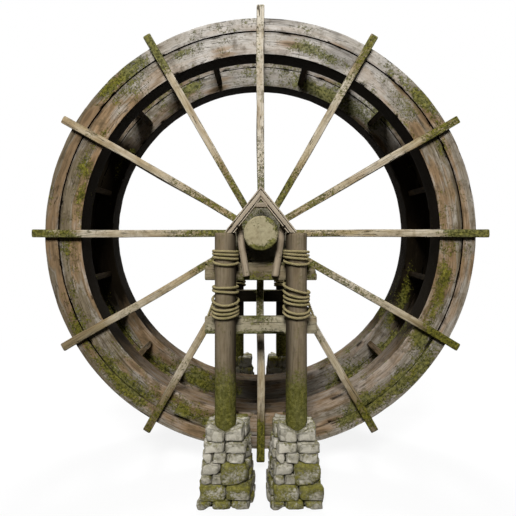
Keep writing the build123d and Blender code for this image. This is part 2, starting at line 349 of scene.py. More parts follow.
def ring_look(p, n):
    """Bleached on top and mossy in patches and low down. Painted shade makes the inside black at the
    sides and at the top, dark low behind the posts, and darkens the rings' joint in the upper half.
    """
    t, r = wheel_angle(p)
    x, z = np.cos(t), np.sin(t)
    across = r - JOINT_RADIUS
    patch = fractal(p * 2.4, 31, 3)
    fine = fractal(p * 8, 37, 2)
    inner = smooth(-(n[..., 0] * x + n[..., 2] * z), 0.2, 0.8)
    inward = smooth(facing_in(p, n), 0.2, 0.8)
    moss = 0.02 + 0.55 * patch + 0.30 * fine
    moss += inner * smooth(-z, 0.05, 0.60) * (0.40 * smooth(x, 0.1, 0.7) - 0.06)
    moss += 0.22 * inward * smooth(z, 0.5, 0.9)
    for angle, reach, middle, half, amount in MOSS_PATCHES:
        turn = (np.degrees(t) - angle + 180) % 360 - 180
        moss = moss + amount * np.exp(-(turn / reach) ** 2 - ((across - middle) / half) ** 2)
    upper = smooth(z, 0.0, 0.35)
    bleach = 0.84 * smooth(z + 0.18 * patch + 0.10 * x, 0.62, 0.97) + 0.16 * fine
    bleach += smooth(-z, 0.1, 0.8) * (0.15 + 0.17 * smooth(x, 0.0, 0.5))
    band = smooth(across, 0.0, 0.04)
    bleach += 0.18 * band * smooth(x, 0.7, 0.95) - (0.14 + 0.10 * band) * smooth(-x, 0.7, 0.95)
    bleach += inward * (0.45 * smooth(z, 0.30, 0.70) - 0.60 * smooth(z, 0.65, 0.95))
    smudge = smooth(fractal(p * 5, 35, 3), 0.05, 0.45) * smooth(z, 0.45, 0.90)
    # Painted shade over a little grime: the sides of the faces that look in, the inner faces except at
    # the bottom, and both low in the middle behind the posts.
    side = smooth(np.abs(x) + 0.08 * patch, 0.28 + 0.46 * upper, 0.72 + 0.20 * upper)
    side = side * smooth(z, -0.75, -0.35)
    damp_and_shade = np.exp(-(x / 0.26) ** 2) * smooth(-z + 0.05 * patch, 0.84, 0.96)
    dirt_and_shade = np.maximum(inner * (0.25 + 0.22 * smooth(-x, 0.3, 0.6) + 0.50 * damp_and_shade
                               + 0.95 * smooth(z, -0.95, -0.35)),
                      inward * (0.10 + 0.80 * damp_and_shade + 0.12 * upper + 1.00 * side))
    dirt_and_shade = np.maximum(dirt_and_shade, 0.24 * band * smooth(-x, 0.6, 0.9))
    # Dark line along the rings' joint: grime in the joint, with painted shade that keeps it strong only
    # in the upper half.
    crevice = np.exp(-(across / 0.005) ** 2) * smooth(z, -0.45, 0.15) * (1 - inward)
    return stack(moss, bleach, np.maximum(np.maximum(dirt_and_shade, 0.42 * smudge), 1.2 * crevice))


# Moss at the spokes' outer ends, from the right round by the top
TIP_MOSS = (0.70, 0.62, 0.50, 0.02, 0.46, 0.12, 0.66, 0.10, 0.60, 0.80, 0.60, 0.75)


def spoke_look(p, n):
    """Mossy near the hub and at most tips, palest on top, damp low down, with painted shade on the faces
    that look in.
    """
    t, r = wheel_angle(p)
    tip = np.array(TIP_MOSS)[np.round(t / (math.tau) * SPOKES).astype(int) % SPOKES]
    patch = fractal(p * 3.4, 41, 3)
    heart = smooth(-r - 0.25 * patch, -1.10, -0.50)
    moss = -0.06 + 0.50 * patch + tip * smooth(r + 0.10 * patch, 1.62, 1.80) + 0.42 * heart
    bleach = 0.37 + 0.03 * np.sin(t) + 0.80 * smooth(np.sin(t), 0.88, 1.0) + 0.40 * patch
    bleach -= 0.2 * smooth(r, 1.6, 1.8) + 0.25 * heart
    damp = smooth(-np.sin(t), 0.2, 0.45) * smooth(r + 0.1 * patch, 1.5, 1.75)
    # Grime from the damp low down, and painted shade on the faces that look in.
    return stack(moss, bleach - 0.40 * damp, 0.42 * damp + 0.5 * smooth(facing_in(p, n), 0.2, 0.8))


def float_look(p, n):
    # Painted shade: the floats dark all round except at the bottom.
    high = smooth(np.sin(wheel_angle(p)[0]), -0.80, -0.45)
    return stack(0.12 + 0.5 * fractal(p * 4, 43, 3), 0.15, 0.15 + 0.80 * high)


def hub_look(p, n):
    patch = fractal(p * 8, 47, 3)
    return stack(0.25 + 0.6 * patch, 0.50 + 0.5 * patch, 0.0)


def axle_look(p, n):
    """Pale and mossy at the ends, dark between the hubs."""
    patch = fractal(p * 9, 53, 3)
    shown = np.abs(p[..., 1]) > SPOKE_Y + 0.2
    t, r = wheel_angle(p)
    low_side = smooth(r + 0.03 * patch, 0.050, 0.140) * smooth(-np.sin(t), 0.1, 0.9)
    high_side = smooth(r + 0.03 * patch, 0.100, 0.150) * np.exp(-((t - 0.7) / 0.6) ** 2)
    moss = -0.10 + 0.30 * patch + shown * (0.92 * low_side + 0.85 * high_side)
    return stack(moss, np.where(shown, 0.50, 0.10) + 0.2 * patch, np.where(shown, 0.0, 0.6))


def post_look(p, n):
    """Green and damp at the foot, with painted shade on the sides, behind and between the posts."""
    patch = fractal(p * (7, 7, 2.2), 59, 3)
    damp_and_shade = 1 - smooth(p[..., 2] + 0.14 * patch, 0.84, 1.20)
    moss = 0.96 * damp_and_shade + 0.20 * patch - 0.07
    inward = facing_in(p, n)
    between = smooth(-n[..., 0] * np.sign(p[..., 0]), -0.1, 0.9)
    # Painted shade: darker on the sides, darkest on the faces that look in and on the sides facing the
    # other post.
    dirt_and_shade = 0.40 * smooth(inward, -0.98, -0.35) + 0.75 * smooth(inward, -0.20, 0.50) + 0.45 * between
    return stack(moss, 0.34 + 0.2 * patch, dirt_and_shade)


def beam_look(p, n):
    """The upper beam mossy with painted shadow in its middle, the lower one pale with mossy edges, and
    painted shade on faces that look in.
    """
    patch = fractal(p * (5, 6, 9), 61, 3)
    low_beam = p[..., 2] < (UPPER_BEAM_Z + LOWER_BEAM_Z) / 2
    high = p[..., 2] - np.where(low_beam, LOWER_BEAM_Z, UPPER_BEAM_Z)
    painted_shade_zone = ~low_beam * np.exp(-(p[..., 0] / 0.17) ** 4)
    moss = np.where(low_beam, -0.16, 0.02) + 0.60 * patch + 0.26 * smooth(np.abs(high), 0.030, 0.075)
    moss += low_beam * 0.62 * smooth(high, -0.02, 0.07) * np.exp(-(p[..., 0] / 0.15) ** 2)
    moss += low_beam * 0.35 * smooth(-high, 0.02, 0.07)
    moss += 0.22 * painted_shade_zone
    bleach = np.where(low_beam, 0.80, 0.20) + 0.3 * patch
    # Painted shade on the faces that look in, and painted shadow in the middle of the upper beam.
    return stack(moss, bleach, np.maximum(1.2 * smooth(facing_in(p, n), 0.2, 0.8), 0.26 * painted_shade_zone))


def strut_look(p, n):
    patch = fractal(p * 8, 67, 3)
    # Painted shade on the side that looks in.
    return stack(-0.1 + 0.3 * patch, 0.45 + 0.2 * patch, 0.6 * smooth(facing_in(p, n), 0.0, 0.7))


def roof_look(p, n):
    """Pale, with some moss on top, and painted shade on the rear gable."""
    patch = fractal(p * 9, 71, 3)
    # Painted shade on the rear gable's outward faces.
    painted_shade_zone = smooth(GABLE_Y - np.abs(p[..., 1]), 0.03, 0.06) * smooth(-facing_in(p, n), 0.2, 0.8)
    moss = -0.08 + 0.4 * patch + 0.34 * np.maximum(0, n[..., 2])
    return stack(moss, 0.40 + 0.2 * patch, 1.1 * painted_shade_zone)


def collar_look(p, n):
    return roof_look(p, n) + (0.0, -0.25, 0.30)


def seam_look(p, n):
    """The groove along a rafter, with painted shade below the collar."""
    return stack(-1.0, 0.35, 1.4 * smooth(COLLAR_Z - p[..., 2], -0.005, 0.005))


# Materials

class Shader:
    """Short words for building the nodes of one material, or of the world."""

    def __init__(self, name, kind="materials"):
        self.made = getattr(bpy.data, kind).new(name)
        self.made.use_nodes = True
        self.tree = self.made.node_tree

    def node(self, kind, **inputs):
        """Adds a node. An input is given by its name, or as i0, i1 and so on by its place."""
        made = self.tree.nodes.new(kind)
        for key, value in inputs.items():
            by_place = key[0] == "i" and key[1:].isdigit()
            self.put(made.inputs[int(key[1:])] if by_place else made.inputs[key], value)
        return made

    def put(self, socket, value):
        """Links a socket to another, or sets it."""
        if isinstance(value, bpy.types.NodeSocket):
            self.tree.links.new(value, socket)
        else:
            socket.default_value = value

    def attribute(self, name, output="Vector"):
        made = self.node("ShaderNodeAttribute")
        made.attribute_name = name
        return made.outputs[output]

    def split(self, vector):
        return self.node("ShaderNodeSeparateXYZ", i0=vector).outputs

    def place(self):
        return self.node("ShaderNodeTexCoord").outputs["Object"]

    def stretch(self, vector, scale):
        made = self.node("ShaderNodeVectorMath", i0=vector, i1=scale)
        made.operation = "MULTIPLY"
        return made.outputs[0]

    def noise(self, vector, scale, detail=3.0, rough=0.55, warp=0.0):
        """Noise of one scale, or stretched by three."""
        if isinstance(scale, tuple):
            vector, scale = self.stretch(vector, scale), 1.0
        return self.node("ShaderNodeTexNoise", Vector=vector, Scale=scale, Detail=detail,
                         Roughness=rough, Distortion=warp).outputs["Fac"]

    def cells(self, vector, scale):
        """Distance to the nearest of scattered points, and a random number for each point."""
        made = self.node("ShaderNodeTexVoronoi", Vector=self.stretch(vector, scale), Scale=1.0)
        return made.outputs["Distance"], self.split(made.outputs["Color"])[0]

    def math(self, kind, x, y=0.0, z=0.0, clamp=False):
        made = self.node("ShaderNodeMath", i0=x, i1=y, i2=z)
        made.operation = kind
        made.use_clamp = clamp
        return made.outputs[0]

    def times(self, x, y, clamp=False):
        return self.math("MULTIPLY", x, y, clamp=clamp)

    def scaled(self, x, y, z, clamp=False):
        """x times y, plus z."""
        return self.math("MULTIPLY_ADD", x, y, z, clamp)

    def minus(self, x, y):
        return self.math("SUBTRACT", x, y)

    def step(self, x, low, high, top=1.0):
        """Smooth step from 0 at low to top at high."""
        made = self.node("ShaderNodeMapRange", i0=x, i1=low, i2=high, i3=0.0, i4=top)
        made.interpolation_type = "SMOOTHSTEP"
        return made.outputs[0]

    def mix(self, share, x, y):
        made = self.node("ShaderNodeMix")
        made.data_type = "RGBA"
        self.put(made.inputs["Factor"], share)
        for socket, value in ((made.inputs[6], x), (made.inputs[7], y)):
            self.put(socket, value if isinstance(value, bpy.types.NodeSocket) else (*value, 1.0))
        return made.outputs[2]

    def finish(self, color, roughness, relief, depth, strength):
        """Sets the surface: dull, with its relief as bump."""
        surface = self.tree.nodes["Principled BSDF"].inputs
        self.put(surface["Base Color"], color)
        self.put(surface["Roughness"], roughness)
        self.put(surface["Specular IOR Level"], 0.02)
        bump = self.node("ShaderNodeBump", Height=relief, Distance=depth, Strength=strength)
        self.put(surface["Normal"], bump.outputs[0])
        return self.made


def shade(color, share):
    return tuple(share * v for v in color)


WOOD_MOSS = ((0.036, 0.039, 0.006), (0.142, 0.134, 0.016), (0.305, 0.280, 0.052))
STONE_MOSS = ((0.090, 0.086, 0.012), (0.215, 0.196, 0.024), (0.380, 0.350, 0.085))
FADED_MOSS = (0.205, 0.205, 0.120)


def moss_over(sh, color, amount, place, greens, top=0.94, faded=0.0, soft=0.0):
    """Covers a colour with moss where the look says so. Gives colour and cover.

    top is the thickest cover, faded the share of dry moss, and soft how gently the moss ends."""
    dark, mid, pale = greens
    fine = sh.noise(place, 58.0, 4.0, 0.75)
    wide = sh.noise(place, 17.0, 3.0, 0.6)
    level = sh.scaled(fine, 2.00, amount)
    level = sh.scaled(wide, 0.80, level)
    cover = sh.step(level, 1.55 - soft, 1.85 + soft, top)
    clump = sh.noise(place, 40.0, 5.0, 0.75)
    tint = sh.noise(place, 27.0, 5.0, 0.8)
    green = sh.mix(faded, sh.mix(sh.step(tint, 0.48, 0.66, 0.85), mid, pale), FADED_MOSS)
    green = sh.mix(sh.step(clump, 0.40 - 0.6 * soft, 0.58 + 0.6 * soft), dark, green)
    return sh.mix(cover, color, green), cover


def wood(name, dark, mid, pale, warm, contrast=1.0, warm_share=0.8, cracks=0.85, soft_moss=0.0):
    """Weathered timber: two tones along each board, grain, knots, checks, bleaching, grime with painted
    shade, and moss.
    """
    sh = Shader(name)
    grain = sh.attribute("grain")
    moss, bleach, dirt_and_shade = sh.split(sh.attribute("look"))
    lane = sh.attribute("lane", "Fac")
    place = sh.place()
    board = sh.noise(grain, (1.3, 5.0, 5.0), 3.0, 0.5)
    blotch = sh.noise(grain, (4.0, 16.0, 16.0), 4.0, 0.6)
    streak = sh.noise(grain, (4.0, 74.0, 74.0), 4.0, 0.6, 0.3)
    fibre = sh.noise(grain, (12.0, 330.0, 330.0), 2.0, 0.6)
    checks = sh.noise(grain, (1.5, 26.0, 26.0), 2.0, 0.5, 0.5)

    edge = sh.scaled(board, 2.4, sh.scaled(lane, 0.50, -1.20))
    warmth = sh.minus(warm_share, sh.step(edge, -0.12, 0.10, warm_share))
    rim = sh.math("ABSOLUTE", sh.minus(edge, 0.06))
    rim = sh.minus(0.55 * contrast, sh.step(rim, 0.0, 0.06, 0.55 * contrast))
    light = tuple(0.62 * m + 0.38 * p for m, p in zip(mid, pale))
    color = sh.mix(sh.step(streak, 0.24, 0.62), dark, mid)
    warmer = sh.mix(sh.step(streak, 0.24, 0.60), shade(warm, 0.55), warm)
    color = sh.mix(warmth, color, warmer)
    color = sh.mix(rim, color, light)
    color = sh.mix(sh.step(blotch, 0.52, 0.74, 0.6 * contrast), color, light)
    color = sh.mix(sh.step(blotch, 0.47, 0.26, 0.6 * contrast), color, dark)
    aged = sh.scaled(sh.minus(streak, 0.5), 0.7, bleach)
    aged = sh.scaled(sh.minus(blotch, 0.5), 1.3, aged, clamp=True)
    color = sh.mix(sh.times(aged, 0.92), color, pale)
    mottle = sh.step(sh.noise(place, 21.0, 4.0, 0.7), 0.50, 0.64, 0.45 * contrast)
    color = sh.mix(sh.times(mottle, aged), color, mid)
    color = sh.mix(sh.step(sh.noise(place, 9.0, 4.0, 0.65), 0.50, 0.68, 0.55 * contrast), color, dark)
    near, chance = sh.cells(grain, (2.6, 11.0, 11.0))
    knotty = sh.step(chance, 0.66, 0.68)
    halo = sh.times(knotty, sh.step(near, 0.52, 0.22, 0.90 * warm_share))
    heart = sh.times(knotty, sh.step(near, 0.30, 0.14, 0.85 * warm_share))
    color = sh.mix(halo, color, shade(warm, 0.95))
    color = sh.mix(heart, color, shade(warm, 0.36))
    color = sh.mix(sh.step(fibre, 0.56, 0.34, 0.28 * contrast), color, dark)
    line = sh.math("ABSOLUTE", sh.minus(checks, 0.5))
    crack = sh.times(sh.step(line, 0.017, 0.005), sh.step(blotch, 0.46, 0.58, cracks))
    color = sh.mix(crack, color, shade(dark, 0.22))
    # Grime and painted shade darken the colour.
    stain_and_shade = sh.times(dirt_and_shade, sh.scaled(blotch, 0.5, 0.70), clamp=True)
    color = sh.mix(stain_and_shade, color, shade(dark, 0.10))
    moss = sh.scaled(dirt_and_shade, -0.35, moss)
    faded = sh.times(aged, 0.6)
    color, cover = moss_over(sh, color, moss, place, WOOD_MOSS, faded=faded, soft=soft_moss)

    roughness = sh.scaled(streak, 0.16, 0.76)
    relief = sh.scaled(crack, -2.2, sh.scaled(fibre, 0.35, streak))
    tufts = sh.times(cover, sh.noise(place, 150.0, 3.0, 0.7))
    return sh.finish(color, roughness, sh.scaled(tufts, 2.4, relief), 0.004, 0.75)


def rope_material():
    """Twisted fibre, worn in places, with painted shade between the strands."""
    sh = Shader("twisted_rope")
    grain = sh.attribute("grain")
    valley_shade = sh.split(sh.attribute("look"))[2]
    place = sh.place()
    hair = sh.noise(grain, (60.0, 900.0, 900.0), 3.0, 0.6)
    worn = sh.noise(place, 16.0, 3.0)
    color = sh.mix(sh.step(hair, 0.34, 0.66), (0.150, 0.120, 0.052), (0.480, 0.405, 0.225))
    color = sh.mix(sh.step(worn, 0.45, 0.70, 0.45), color, (0.160, 0.148, 0.036))
    # Painted shade between the strands.
    color = sh.mix(sh.times(valley_shade, 0.96), color, (0.016, 0.013, 0.006))
    return sh.finish(color, 0.92, hair, 0.0012, 0.6)


def stone_material():
    """Grey rubble with broken facets, joints and edges darkened by grime and painted shade, and moss."""
    sh = Shader("mossy_rubble")
    grain = sh.attribute("grain")
    moss, pale, dirt_and_shade = sh.split(sh.attribute("look"))
    place = sh.place()
    own = sh.noise(grain, 6.0, 3.0, 0.6)
    cloud = sh.noise(grain, 24.0, 4.0, 0.6)
    speck = sh.noise(grain, 150.0, 4.0, 0.7)
    facet, tone = sh.cells(grain, (17.0, 17.0, 17.0))
    color = sh.mix(pale, (0.345, 0.322, 0.252), (0.535, 0.503, 0.420))
    color = sh.mix(sh.step(own, 0.42, 0.66, 0.5), color, (0.345, 0.312, 0.222))
    color = sh.mix(sh.step(cloud, 0.48, 0.32, 0.60), color, (0.150, 0.140, 0.112))
    color = sh.mix(sh.step(cloud, 0.54, 0.70, 0.60), color, (0.710, 0.670, 0.575))
    color = sh.mix(sh.step(speck, 0.46, 0.30, 0.35), color, (0.090, 0.086, 0.072))
    color = sh.mix(sh.step(tone, 0.62, 0.74, 0.24), color, (0.710, 0.670, 0.575))
    color = sh.mix(sh.step(tone, 0.36, 0.24, 0.30), color, (0.170, 0.158, 0.120))
    # Grime and painted shade darken the joints, edges and faces that look in.
    color = sh.mix(dirt_and_shade, color, (0.020, 0.019, 0.014))
    moss = sh.minus(moss, 0.20)
    color, cover = moss_over(sh, color, moss, place, STONE_MOSS, top=0.90, soft=0.12)
    roughness = sh.scaled(speck, 0.15, 0.78)
    relief = sh.scaled(facet, -0.9, sh.scaled(speck, 0.4, cloud))
    tufts = sh.times(cover, sh.noise(place, 190.0, 3.0, 0.7))
    return sh.finish(color, roughness, sh.scaled(tufts, 1.5, relief), 0.010, 0.8)


# Materials by slot, a timber by its dark, middle, pale and warm colour
MATERIALS = {
    "ring_wood": wood(
        "rim_timber", (0.074, 0.053, 0.029), (0.212, 0.172, 0.114), (0.550, 0.518, 0.476),
        (0.310, 0.200, 0.108), cracks=0.6),
    "spoke_wood": wood(
        "spoke_timber", (0.155, 0.112, 0.056), (0.382, 0.302, 0.165), (0.600, 0.545, 0.450),
        (0.365, 0.255, 0.135), contrast=0.9, warm_share=0.4),
    "float_wood": wood(
        "float_timber", (0.050, 0.034, 0.018), (0.150, 0.112, 0.066), (0.300, 0.255, 0.185),
        (0.180, 0.120, 0.066)),
    "hub_wood": wood(
        "hub_timber", (0.070, 0.060, 0.038), (0.190, 0.172, 0.124), (0.340, 0.318, 0.250),
        (0.190, 0.148, 0.092), warm_share=0.4, cracks=0.2),
    "axle_wood": wood(
        "axle_timber", (0.190, 0.156, 0.086), (0.315, 0.276, 0.166), (0.385, 0.346, 0.222),
        (0.320, 0.254, 0.140), contrast=0.60, warm_share=0.3, cracks=0.2),
    "post_wood": wood(
        "post_timber", (0.108, 0.082, 0.050), (0.182, 0.142, 0.091), (0.262, 0.215, 0.150),
        (0.192, 0.140, 0.082), contrast=0.45, warm_share=0.5, cracks=0.35, soft_moss=0.25),
    "beam_wood": wood(
        "beam_timber", (0.092, 0.074, 0.045), (0.215, 0.182, 0.118), (0.385, 0.345, 0.240),
        (0.235, 0.172, 0.098), contrast=0.9, warm_share=0.6),
    "strut_wood": wood(
        "strut_timber", (0.140, 0.105, 0.065), (0.275, 0.218, 0.145), (0.430, 0.365, 0.275),
        (0.275, 0.200, 0.125), contrast=0.5, warm_share=0.5, cracks=0.5),
    "roof_wood": wood(
        "roof_timber", (0.190, 0.148, 0.102), (0.345, 0.286, 0.208), (0.470, 0.410, 0.316),
        (0.370, 0.282, 0.196), contrast=0.5, warm_share=0.6, cracks=0.5),
    "rope": rope_material(),
    "stone": stone_material(),
}


# Wheel

def ring_timbers(end, inner, outer, y, depth, kind):
    """Twelve curved balks of one ring, which meet under the spokes."""
    heap = Heap()
    radius = (inner + outer) / 2
    length = radius * math.tau / SPOKES - BALK_GAP
    section = rect_section((outer - inner) / 2, depth, radius=0.004, across=7, down=6)
    for k in range(SPOKES):
        middle = math.tau * (k + 0.5) / SPOKES
        timber(heap, section, length, arc(radius, middle, length, end * y), seed_for(k, end, kind),
               ring_look, step=0.024, wear=0.0032, rubbed_and_highlight=0.28)
    return heap


def spoke_timbers(end):
    """Twelve tapered spokes, each a little crooked."""
    heap = Heap()
    section = rect_section(SPOKE_WIDTH / 2, SPOKE_DEPTH, radius=0.008, across=3, down=3)
    for k in range(SPOKES):
        t = math.tau * k / SPOKES
        along, side = np.array((math.cos(t), 0, math.sin(t))), (-math.sin(t), 0, math.cos(t))
        root = np.array((0, end * SPOKE_Y, AXLE_Z)) + SPOKE_ROOT * along
        timber(heap, section, SPOKE_RADIUS - SPOKE_ROOT, straight(root, along, side), seed_for(k, end, 3),
               spoke_look, step=0.022, wear=0.003, wave=0.0032, taper=SPOKE_TAPER, crook=0.016)
    return heap


def float_timbers():
    """Boards between the rings."""
    heap = Heap()
    section = rect_section(FLOAT_WIDTH / 2, FLOAT_THICKNESS / 2, radius=0.006, across=8, down=3)
    for k in range(FLOATS):
        t = math.tau * k / FLOATS
        out = np.array((math.cos(t), 0, math.sin(t)))
        origin = (FLOAT_RADIUS - FLOAT_WIDTH / 2) * out + (0, -FLOAT_REACH, AXLE_Z)
        timber(heap, section, 2 * FLOAT_REACH, straight(origin, (0, 1, 0), out), seed_for(k, 5),
               float_look, rubbed_and_highlight=0.0)
    return heap


def log_timber(radius, y, reach, seed, look, flats, **more):
    """A log along the axle's line."""
    heap = Heap()
    timber(heap, round_section(radius, 78, flats), 2 * reach,
           straight((0, y - reach, AXLE_Z), (0, 1, 0), (1, 0, 0)), seed, look, caps=LOG_CAPS, **more)
    return heap


for end_name, end in ENDS.items():
    wheel = {"where": end_name + "_", "body": "wheel"}
    ring_timbers(end, FELLOE_INNER, FELLOE_RADIUS, FELLOE_Y, FELLOE_DEPTH, 1).piece(
        "felloe_timbers", "felloes", "ring_wood", **wheel)
    ring_timbers(end, JOINT_RADIUS + RING_GAP, RIM_RADIUS, RIM_Y, RIM_DEPTH, 2).piece(
        "rim_timbers", "rim_band", "ring_wood", **wheel)
    spoke_timbers(end).piece("spoke_timbers", "spokes", "spoke_wood", **wheel)
    log_timber(HUB_RADIUS - 2 * LOG_SLACK, end * HUB_Y, HUB_DEPTH, seed_for(end, 4), hub_look, 24,
               step=0.015, end_round=0.012, wave=0.004).piece("hub_timber", "hub", "hub_wood", **wheel)
float_timbers().piece("float_boards", "floats", "float_wood", body="wheel")
log_timber(AXLE_RADIUS - LOG_SLACK, 0, AXLE_REACH, 8.3, axle_look, 13, step=0.022, end_round=0.010,
           wave=0.0015, ragged=0.002).piece("axle_log", "axle", "axle_wood", body="wheel")


# Trestles

def nail(heap, point, end, radius):
    """A hammered iron nail head on a timber's outward face."""
    t = -end * np.arange(12) / 12 * math.tau
    circle = radius * np.stack((np.cos(t), 0 * t, np.sin(t)), -1)
    rings = ((1.0, -0.004), (1.0, 0.003), (0.72, 0.0055), (0.3, 0.0065))
    points = np.array([point + share * circle + (0, end * out, 0) for share, out in rings])
    heap.tube(points, points, np.broadcast_to((-1.0, 0.0, 1.6), points.shape))


def rope(heap, path, radius, pitch=0.062, around=18):
    """Three-strand rope along a path of close points."""
    ahead = unit(np.gradient(path, axis=0))
    out = unit(np.cross(ahead, (0, 0, 1.0)))
    top = np.cross(out, ahead)
    run = np.concatenate(([0], np.cumsum(np.linalg.norm(np.diff(path, axis=0), axis=1))))[:, None]
    t = np.arange(around) / around * math.tau
    strand = t - run / pitch * math.tau
    lobe = (strand + math.pi / 3) % (math.tau / 3) - math.pi / 3
    far, fat = 0.52 * radius, 0.50 * radius
    r = far * np.cos(lobe) + np.sqrt(np.maximum(fat ** 2 - (far * np.sin(lobe)) ** 2, 1e-9))
    spots = np.stack(np.broadcast_arrays(run * 45, 3 * np.cos(t), 3 * np.sin(t)), -1)
    r = r * (1 + 0.05 * noise(spots, 3))
    points = path[:, None] + (r * np.cos(t))[..., None] * out[:, None]
    points = points + (r * np.sin(t))[..., None] * top[:, None]
    grain = np.stack((run + 0 * strand, radius * np.cos(strand), radius * np.sin(strand)), -1)
    # The third value is painted shade between the strands.
    heap.tube(points, grain, stack(0.0, 0.0, smooth(np.abs(lobe), 0.62, 1.05)))


# Turns of each lashing, above and below the upper beam: drop below the axle, dip and roll in degrees
LEFT_TURNS = (
    ((0.147, 0, 0), (0.175, 0, 0), (0.203, 1, 0), (0.244, 8, 0)),
    ((0.440, 3, -3), (0.474, 3, -3), (0.556, 17, -6), (0.610, 11, -6), (0.641, 11, -6), (0.672, 11, -6)),
)
RIGHT_TURNS = (
    ((0.148, 0, 0), (0.176, 0, 1), (0.203, 1, 1), (0.243, 7, 2)),
    ((0.455, 8, 14), (0.505, 8, 6), (0.537, 8, 3), (0.568, 8, 0), (0.630, 14, 0), (0.664, 14, 0)),
)
ROPE_RADIUS, ROPE_BED = 0.0118, 0.0013
POINTS_A_TURN, STAY_POINTS = 110, 50
# Ends of each stay: out from the post's middle, back from it, and drop below the axle
STAY_HEAD = (0.096, 0.050, 0.560)
STAY_FOOT = (0.152, 0.100, 0.702)


def winding(turns, x, y, end):
    """One rope wound round a post, turn after turn, each with its own dip and roll."""
    t = np.linspace(0, len(turns), len(turns) * POINTS_A_TURN)
    middle = np.arange(len(turns)) + 0.5
    drop, dip, roll = (np.interp(t, middle, v) for v in zip(*turns))
    angle = math.tau * t - end * math.pi / 2
    tilt = np.radians(np.hypot(dip, roll))
    r = (POST_RADIUS - ROPE_BED + ROPE_RADIUS) * (2 / np.cos(tilt) - 1)
    dx, dy = r * np.cos(angle), r * np.sin(angle)
    rise = -end * dy * np.tan(np.radians(dip)) + end * dx * np.tan(np.radians(roll))
    return np.stack((x + dx, y + dy, AXLE_Z - drop + rise), -1)


def lashing(x, y, side, end):
    """Two windings round a post and a stay to the lower beam."""
    heap = Heap()
    for turns in LEFT_TURNS if side * end > 0 else RIGHT_TURNS:
        rope(heap, winding(turns, x, y, end), ROPE_RADIUS)
    head, foot = (np.array((x + side * out, y - end * back, AXLE_Z - drop))
                  for out, back, drop in (STAY_HEAD, STAY_FOOT))
    rope(heap, np.linspace(head, foot, STAY_POINTS), ROPE_RADIUS)
    return heap


BLOCK_MARKS = (-1, -0.92, -0.76, -0.40, 0, 0.40, 0.76, 0.92, 1)


def block_mesh():
    """Points and quads of a cube, with closer lines near its edges."""
    corners = []
    steps = range(len(BLOCK_MARKS) - 1)
    for axis, sign, i, j in itertools.product(range(3), (-1, 1), steps, steps):
        for di, dj in ((0, 0), (1, 0), (1, 1), (0, 1))[::sign]:
            p = [sign, sign, sign]
            p[(axis + 1) % 3] = BLOCK_MARKS[i + di]
            p[(axis + 2) % 3] = BLOCK_MARKS[j + dj]
            corners.append(p)
    points, index = np.unique(corners, axis=0, return_inverse=True)
    return points, index.reshape(-1, 4)


BLOCK, BLOCK_QUADS = block_mesh()


def stone(heap, middle, half, seed, moss, pale, trim):
    """One roughly squared stone with worn arrises and a few broken corners."""
    rng = np.random.default_rng(int(seed))
    worn = rng.uniform(5.5, 9.0)
    p = BLOCK / (np.abs(BLOCK) ** worn).sum(1, keepdims=True) ** (1 / worn) * 1.02
    twist = np.stack((p[:, 0] * p[:, 1], p[:, 1] * p[:, 2], p[:, 2] * p[:, 0]), -1)
    p = p + twist @ rng.uniform(-0.10, 0.10, (3, 3))
    for _ in range(4):
        n = unit(rng.normal(size=3))
        over = np.maximum(0, p @ n - rng.uniform(1.02, 1.25))
        p = p - over[:, None] * n
    p = p + 0.05 * fractal(p * 1.4 + rng.random(3) * 20, seed, 2)[:, None] * p
    p = p * half
    p = p + 0.007 * fractal(p * 28, seed + 1, 3)[:, None]
    green = moss + 0.30 * smooth(BLOCK[:, 2], -0.3, 1.0) + 0.45 * fractal(p * 13, seed + 2, 2)
    points = trim(p + middle)
    arris = np.sort(np.abs(BLOCK), axis=1)[:, 1]
    # Painted shade on faces that look in, and darker edges, partly grime in the joints and partly painted
    # shade.
    dirt_and_shade = np.maximum(0.75 * smooth(facing_in(points, BLOCK), 0.5, 1.0), 0.55 * smooth(arris, 0.80, 1.0))
    faces = (BLOCK_QUADS + heap.count).tolist()
    heap.add(points, faces, p + rng.random(3) * 30, stack(green, pale, dirt_and_shade))


# Courses of a pier: bottom, top, and the stones of its outward face as (left, right, moss)
COURSES = (
    (0.000, 0.066, ((-0.216, -0.108, 0.26), (-0.098, 0.050, 0.55), (0.056, 0.200, 0.26))),
    (0.066, 0.186, ((-0.190, 0.008, 0.60), (0.014, 0.206, 0.40))),
    (0.186, 0.262, ((-0.186, -0.104, 0.06), (-0.100, -0.018, 0.04))),
    (0.262, 0.352, ((-0.188, -0.034, 0.04),)),
    (0.352, 0.432, ((-0.172, -0.096, 0.06), (-0.092, 0.016, 0.00), (0.022, 0.160, 0.06))),
    (0.432, 0.514, ((-0.160, -0.008, 0.02), (0.002, 0.172, 0.00))),
    (0.514, 0.640, ((-0.152, -0.002, -0.05), (0.002, 0.152, -0.02))),
)
# The stone that is two courses high: left, right, bottom, top, moss
TALL_STONE = (-0.026, 0.186, 0.186, 0.352, 0.52)
STONE_DEPTH, SIDE_DEPTH = 0.125, 0.115
STONE_JOINT, SIDE_JOINT = 0.0015, 0.002
CORE_LEVELS, CORE_INSET = (0.004, 0.2, 0.4, 0.48, 0.495), 0.05
GROUND_GAP, POST_GAP = 0.001, 0.003
NOTCH_FROM, NOTCH_SLACK, TOP_SLACK = 0.03, 0.006, 0.010
SIDE_INSET, BACK_INSET, SIDE_PROUD = 0.085, 0.010, 0.010


